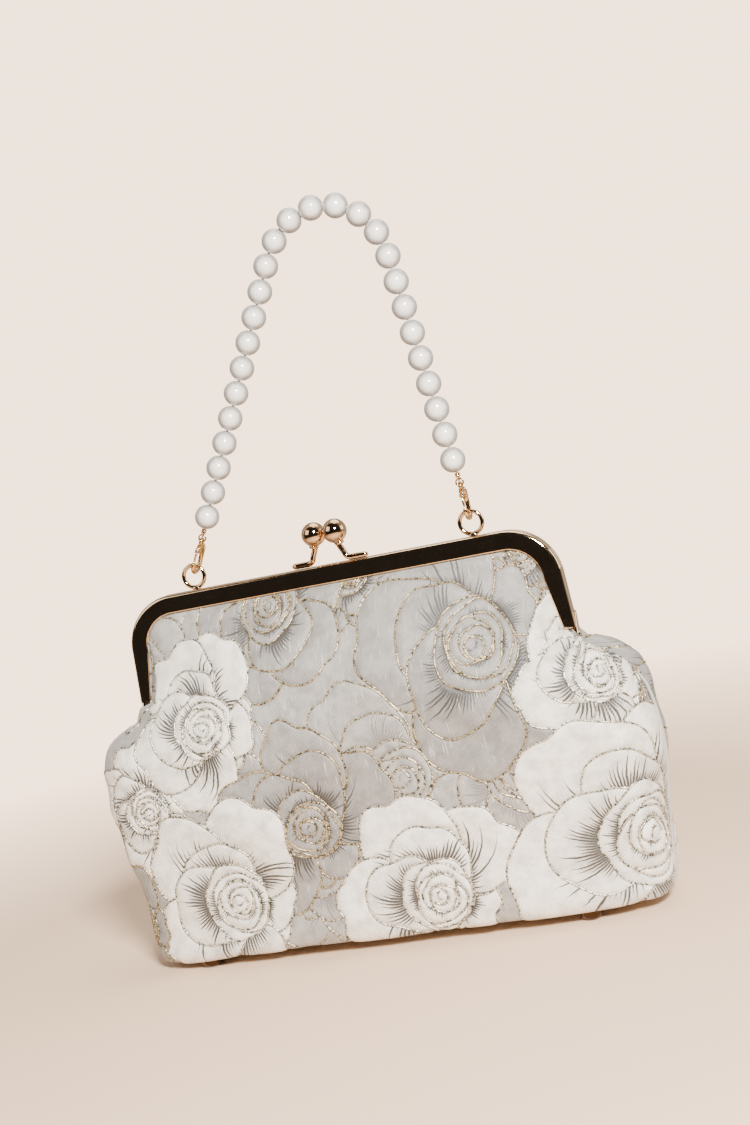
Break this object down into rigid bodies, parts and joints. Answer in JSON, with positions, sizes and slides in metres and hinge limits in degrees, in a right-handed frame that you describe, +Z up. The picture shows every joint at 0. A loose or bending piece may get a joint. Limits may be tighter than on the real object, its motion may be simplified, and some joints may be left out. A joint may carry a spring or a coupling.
{
  "type": "evening bag",
  "caption": "Frame evening bag with a kiss lock, woven rose fabric body on domed feet, and a pearl strand handle held to rings by lobster clasps.",
  "frame": {"origin": "centre of the bag's footprint, on the surface that its four feet stand on", "axes": "+Z up through the clasp, +X towards the bag's right as seen from the front, -Y out of the front"},
  "size_m": [0.2612, 0.066, 0.3381],
  "materials": {
    "gold": "mirror-polished light gold plate",
    "spring_steel": "bright spring wire",
    "pearl": "nacre-coated bead",
    "cable": "twisted beading cord",
    "brocade": "silver-grey woven rose brocade with metallic thread",
    "piping": "satin-covered piping",
    "lining": "satin",
    "paper": "paper fibre, stood in for by wood"
  },
  "bodies": {
    "bag": {"back_frame": "gold", "hinge_rivets": "gold", "back_knob": "gold", "left_ring": "gold", "right_ring": "gold", "back_paper_cord": "paper", "back_panel": "brocade", "front_fold": "brocade", "front_lower_panel": "brocade", "side_seams": "piping", "base_panel": "brocade", "base_board": "paper", "feet": "gold", "foot_washers": "gold", "back_lining": "lining", "fold_lining": "lining", "front_lower_lining": "lining", "base_lining": "lining", "slip_pocket": "lining"},
    "front": {"front_frame": "gold", "front_knob": "gold", "front_paper_cord": "paper", "front_upper_panel": "brocade", "front_upper_lining": "lining"},
    "handle": {"pearls": "pearl", "stringing_cord": "cable", "end_crimps": "gold", "jump_links": "gold", "left_claw": "gold", "right_claw": "gold", "gate_pins": "gold", "gate_springs": "spring_steel"},
    "left_gate": {"left_gate": "gold"},
    "right_gate": {"right_gate": "gold"}
  },
  "joints": [
    {"name": "frame_open", "type": "hinge", "parent": "bag", "child": "front", "pos_m": [0, 0, 0.1215], "axis": [1, 0, 0], "range_deg": [0, 75], "deforming": ["front_fold", "fold_lining"]},
    {"name": "handle_swing", "type": "hinge", "parent": "bag", "child": "handle", "pos_m": [0, 0.00215, 0.18463], "axis": [1, 0, 0], "range_deg": [-95, 95]},
    {"name": "left_gate_press", "type": "hinge", "parent": "handle", "child": "left_gate", "pos_m": [-0.06252, -0.0011, 0.19093], "axis": [0.8988, 0, -0.4384], "range_deg": [0, 20], "stiffness_Nm_per_rad": 0.001, "springref_deg": -5.73},
    {"name": "right_gate_press", "type": "hinge", "parent": "handle", "child": "right_gate", "pos_m": [0.06713, -0.0011, 0.19217], "axis": [0.9976, 0, 0.0698], "range_deg": [0, 20], "stiffness_Nm_per_rad": 0.001, "springref_deg": -5.73}
  ]
}
